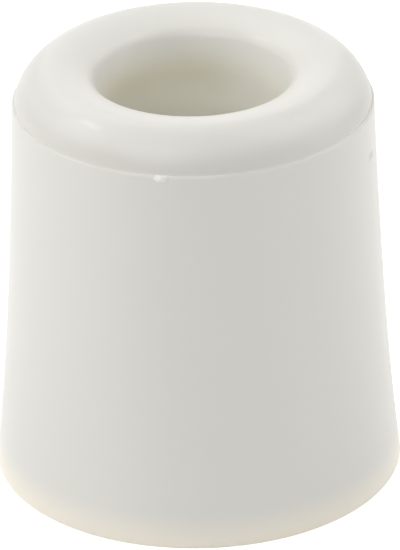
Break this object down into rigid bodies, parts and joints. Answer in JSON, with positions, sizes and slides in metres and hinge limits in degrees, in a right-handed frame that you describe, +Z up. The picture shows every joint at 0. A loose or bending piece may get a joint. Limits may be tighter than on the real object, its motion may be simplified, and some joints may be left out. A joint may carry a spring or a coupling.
{
  "type": "rubber door stop",
  "caption": "Round rubber door stop: flared body on a flat foot, domed top with a rolled lip, deep screw recess and a screw hole through its floor.",
  "frame": {"origin": "centre of the underside, on the surface that the stop stands on", "axes": "+Z up along the stop's axis of revolution, -Y towards the front, where the moulding nub is"},
  "size_m": [0.033, 0.033, 0.035],
  "materials": {
    "white_rubber": "satin creamy white moulded rubber"
  },
  "bodies": {
    "root": {"rubber_body": "white_rubber"}
  },
  "joints": []
}
